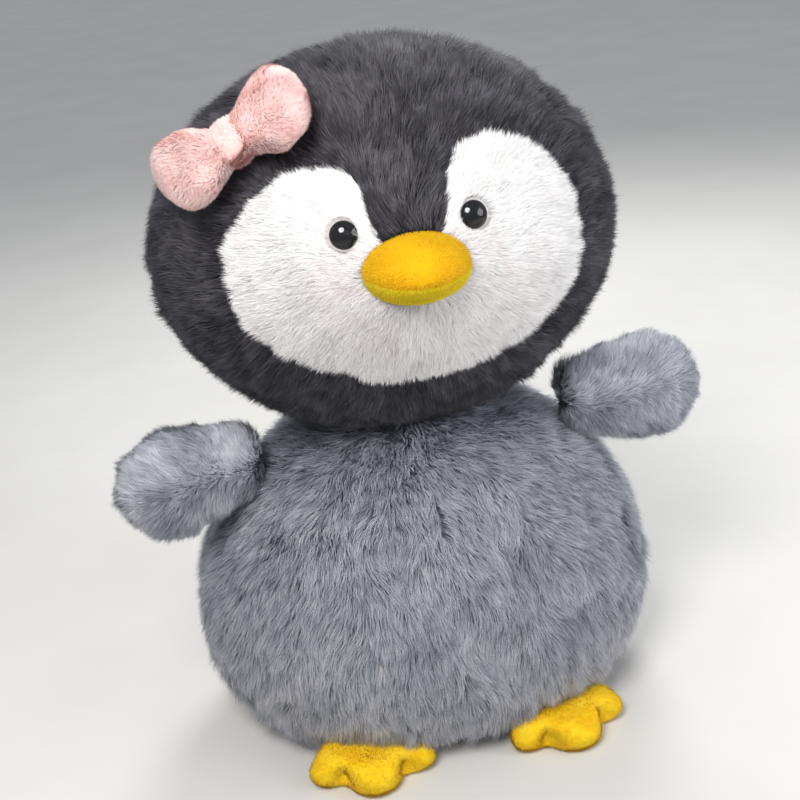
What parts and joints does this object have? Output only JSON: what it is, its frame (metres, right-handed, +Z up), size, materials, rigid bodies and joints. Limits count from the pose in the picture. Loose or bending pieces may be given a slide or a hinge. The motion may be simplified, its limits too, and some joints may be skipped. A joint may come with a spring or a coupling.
{
  "type": "plush penguin",
  "caption": "Stuffed toy penguin with a big round head, white face patch, stubby bill, bow, paddle wings and flat toed feet, standing on its base.",
  "frame": {"origin": "middle of the flat underside of the body, on the surface that the toy stands on", "axes": "+Z up from the base to the crown; the face looks along -Y; +X is to the right of someone facing the toy"},
  "size_m": [0.3442, 0.2245, 0.396],
  "materials": {
    "dark_fur": "long soft pile, charcoal",
    "grey_fur": "long soft pile, blue-grey",
    "white_fur": "long soft pile, white",
    "pink_plush": "short plush, pale pink",
    "yellow_velour": "short velour, bright yellow",
    "beak_orange": "short velour, orange-yellow",
    "beak_yellow": "short velour, lemon yellow",
    "clear_plastic": "clear and polished",
    "black_plastic": "black, glossy",
    "washer_plastic": "natural nylon",
    "stuffing": "polyester fibre fill"
  },
  "bodies": {
    "body": {"body_front_panel": "grey_fur", "body_back_left_panel": "grey_fur", "body_back_right_panel": "grey_fur", "body_base_panel": "grey_fur", "body_stuffing": "stuffing"},
    "neck": {"neck_stuffing": "stuffing"},
    "head": {"head_front_panel": "dark_fur", "head_back_left_panel": "dark_fur", "head_back_right_panel": "dark_fur", "face_patch": "white_fur", "head_stuffing": "stuffing", "beak_upper": "beak_orange", "beak_lower": "beak_yellow", "beak_stuffing": "stuffing", "bow_loop_left": "pink_plush", "bow_loop_right": "pink_plush", "bow_stuffing_left": "stuffing", "bow_stuffing_right": "stuffing", "bow_knot": "pink_plush", "eye_left_lens": "clear_plastic", "eye_left_pupil": "black_plastic", "eye_left_post": "black_plastic", "eye_left_washer": "washer_plastic", "eye_right_lens": "clear_plastic", "eye_right_pupil": "black_plastic", "eye_right_post": "black_plastic", "eye_right_washer": "washer_plastic"},
    "wing_left": {"wing_left_front_panel": "grey_fur", "wing_left_back_panel": "grey_fur", "wing_left_stuffing": "stuffing"},
    "foot_left": {"foot_left_upper": "yellow_velour", "foot_left_sole": "yellow_velour", "foot_left_stuffing": "stuffing"},
    "wing_right": {"wing_right_front_panel": "grey_fur", "wing_right_back_panel": "grey_fur", "wing_right_stuffing": "stuffing"},
    "foot_right": {"foot_right_upper": "yellow_velour", "foot_right_sole": "yellow_velour", "foot_right_stuffing": "stuffing"}
  },
  "joints": [
    {"name": "neck_turn", "type": "hinge", "parent": "body", "child": "neck", "pos_m": [0, 0, 0.12], "axis": [0, 0, 1], "range_deg": [-30, 30], "stiffness_Nm_per_rad": 0.12},
    {"name": "head_nod", "type": "hinge", "parent": "neck", "child": "head", "pos_m": [0, 0, 0.12], "axis": [1, 0, 0], "range_deg": [-12, 6], "stiffness_Nm_per_rad": 1.6},
    {"name": "wing_left_swing", "type": "hinge", "parent": "body", "child": "wing_left", "pos_m": [-0.092, -0.016, 0.178], "axis": [0, 0, 1], "range_deg": [-25, 35], "stiffness_Nm_per_rad": 0.06},
    {"name": "wing_right_swing", "type": "hinge", "parent": "body", "child": "wing_right", "pos_m": [0.092, -0.016, 0.178], "axis": [0, 0, -1], "range_deg": [-25, 35], "stiffness_Nm_per_rad": 0.06},
    {"name": "foot_left_splay", "type": "hinge", "parent": "body", "child": "foot_left", "pos_m": [-0.054, -0.062, 0], "axis": [0, 0, -1], "range_deg": [-12, 12], "stiffness_Nm_per_rad": 0.04},
    {"name": "foot_right_splay", "type": "hinge", "parent": "body", "child": "foot_right", "pos_m": [0.054, -0.062, 0], "axis": [0, 0, 1], "range_deg": [-12, 12], "stiffness_Nm_per_rad": 0.04}
  ]
}
